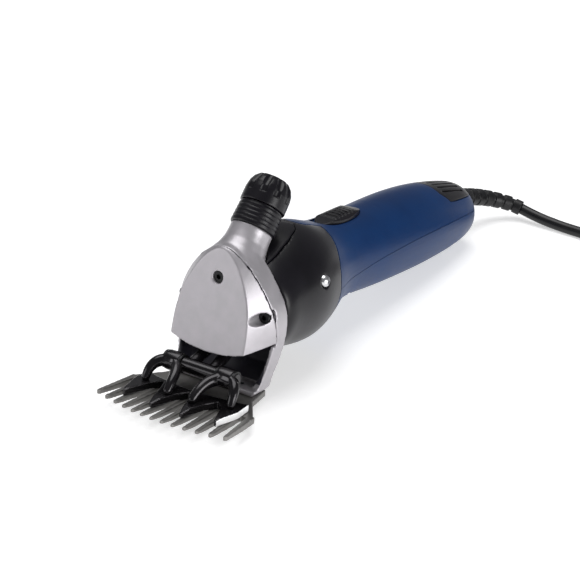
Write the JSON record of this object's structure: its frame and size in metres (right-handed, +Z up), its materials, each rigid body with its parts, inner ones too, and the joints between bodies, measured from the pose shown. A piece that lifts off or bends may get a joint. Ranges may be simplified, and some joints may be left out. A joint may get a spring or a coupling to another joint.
{
  "type": "sheep shears",
  "caption": "Electric sheep shears: cast head with a comb and a swinging cutter, geared motor in a plastic handle, tension knob, slide switch, air filter cover and a mains cord.",
  "frame": {"origin": "on the floor, under the middle of the machine as it lies on its comb screws and its handle", "axes": "+Y from the comb back to the cord, +Z up, +X across the machine, towards the right when seen from the comb"},
  "size_m": [0.1896, 0.4303, 0.1058],
  "materials": {
    "cast_aluminium": "satin cast",
    "blue_plastic": "satin moulded",
    "black_plastic": "satin moulded",
    "inner_plastic": "moulded",
    "black_rubber": "moulded",
    "cord_rubber": "extruded",
    "plug_plastic": "moulded",
    "comb_steel": "ground",
    "dark_steel": "dark polished",
    "bright_steel": "polished",
    "machined_steel": "machined",
    "inner_casting": "as cast",
    "laminations": "stamped",
    "copper": "enamelled",
    "carbon": "pressed",
    "filter_foam": "open foam",
    "pin_metal": "plated"
  },
  "bodies": {
    "frame": {"head_casting": "cast_aluminium", "head_cover": "cast_aluminium", "cover_screws": "bright_steel", "comb": "comb_steel", "comb_screws": "bright_steel", "centre_post": "machined_steel", "tension_sleeve": "black_plastic", "gear_housing": "black_plastic", "housing_cap": "black_plastic", "housing_screws": "bright_steel", "crank_bracket": "inner_casting", "bearing_plate": "inner_casting", "crank_front_bearing": "machined_steel", "crank_rear_bearing": "machined_steel", "motor_front_bearing": "machined_steel", "motor_rear_bearing": "machined_steel", "motor_end_bracket": "inner_casting", "stator_core": "laminations", "field_windings": "copper", "brush_holders": "inner_plastic", "brushes": "carbon", "capacitor": "inner_plastic", "handle_upper": "blue_plastic", "handle_lower": "blue_plastic", "handle_screws": "bright_steel", "switch_body": "inner_plastic", "strain_relief": "black_rubber", "cord_clamp": "inner_plastic", "cord_lead": "cord_rubber", "cord_coil": "cord_rubber", "cord_tie": "black_rubber", "cord_tail": "cord_rubber", "plug_body": "plug_plastic", "plug_pins": "pin_metal"},
    "fork": {"fork": "dark_steel", "left_yoke": "dark_steel", "right_yoke": "dark_steel", "yoke_clips": "bright_steel", "cutter": "dark_steel"},
    "crank": {"crankshaft": "machined_steel", "counterweight": "machined_steel", "drive_gear": "machined_steel"},
    "roller": {"crank_roller": "machined_steel"},
    "armature": {"armature_shaft": "machined_steel", "motor_pinion": "machined_steel", "armature_core": "laminations", "armature_windings": "copper", "commutator": "copper", "cooling_fan": "inner_plastic"},
    "tension_pin": {"tension_pin": "machined_steel"},
    "tension_knob": {"tension_knob": "black_plastic", "tension_spring": "machined_steel"},
    "switch": {"switch_slider": "black_plastic"},
    "filter_cover": {"filter_cover": "black_plastic", "air_filter": "filter_foam"}
  },
  "joints": [
    {"name": "motor_spin", "type": "hinge", "parent": "frame", "child": "armature", "pos_m": [0, 0.04132, 0.03339], "axis": [0, 0.9959, -0.0901], "continuous": true},
    {"name": "crank_spin", "type": "hinge", "parent": "frame", "child": "crank", "pos_m": [0, -0.03268, 0.02562], "axis": [0, 0.9959, -0.0901], "continuous": true},
    {"name": "roller_spin", "type": "hinge", "parent": "crank", "child": "roller", "pos_m": [-0.00164, -0.04883, 0.02468], "axis": [0, 0.9959, -0.0901], "continuous": true},
    {"name": "fork_swing", "type": "hinge", "parent": "frame", "child": "fork", "pos_m": [0, -0.07351, 0.02932], "axis": [0, 0.0901, 0.9959], "range_deg": [-8.4, 4.8]},
    {"name": "tension_pin_slide", "type": "slide", "parent": "frame", "child": "tension_pin", "axis": [0, 0.6841, 0.7294], "range_m": [0, 0.0031]},
    {"name": "tension_knob_turn", "type": "hinge", "parent": "tension_pin", "child": "tension_knob", "pos_m": [0, -0.06764, 0.07979], "axis": [0, 0.6841, 0.7294], "range_deg": [0, 720]},
    {"name": "switch_slide", "type": "slide", "parent": "frame", "child": "switch", "axis": [0, -0.9959, 0.0901], "range_m": [0, 0.005]},
    {"name": "filter_cover_lift", "type": "slide", "parent": "frame", "child": "filter_cover", "axis": [0, 0.0901, 0.9959], "range_m": [0, 0.015]}
  ],
  "couplings": [
    {"joint": "crank_spin", "follows": "motor_spin", "ratio": -0.2973},
    {"joint": "tension_pin_slide", "follows": "tension_knob_turn", "m_per_rad": 0.00023873}
  ]
}
